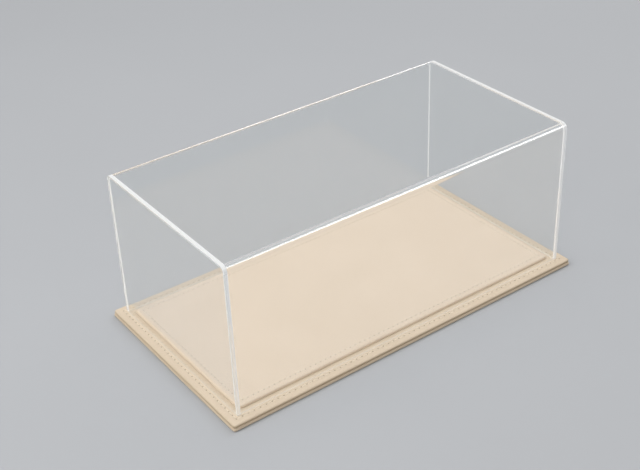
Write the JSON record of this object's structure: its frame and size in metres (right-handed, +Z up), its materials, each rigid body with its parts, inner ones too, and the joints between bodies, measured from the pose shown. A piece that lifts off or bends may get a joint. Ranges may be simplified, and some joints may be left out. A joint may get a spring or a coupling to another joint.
{
  "type": "model car display case",
  "caption": "Clear lift-off cover with rounded long edges on a low leather-wrapped base with a stitched rim and a raised stitched platform, for showing a model car.",
  "frame": {"origin": "middle of the underside, on the surface that the case stands on", "axes": "+X along the long side, +Y from front to back, +Z up"},
  "size_m": [0.3418, 0.1828, 0.1344],
  "materials": {
    "clear_acrylic": "clear polished acrylic sheet",
    "cream_leather": "fine-grained cream leather",
    "cream_thread": "twisted sewing thread",
    "fibreboard": "raw hardboard",
    "grey_card": "grey board"
  },
  "bodies": {
    "base": {"plinth_leather": "cream_leather", "plinth_board": "fibreboard", "plinth_stitching": "cream_thread", "bottom_leather": "cream_leather", "bottom_board": "fibreboard", "base_infill_card": "grey_card", "platform_leather": "cream_leather", "platform_board": "fibreboard", "platform_stitching": "cream_thread", "platform_infill_card": "grey_card"},
    "cover": {"cover_hood": "clear_acrylic", "left_end_panel": "clear_acrylic", "right_end_panel": "clear_acrylic"}
  },
  "joints": [
    {"name": "cover_lift", "type": "slide", "parent": "base", "child": "cover", "axis": [0, 0, 1], "range_m": [0, 0.14]}
  ]
}
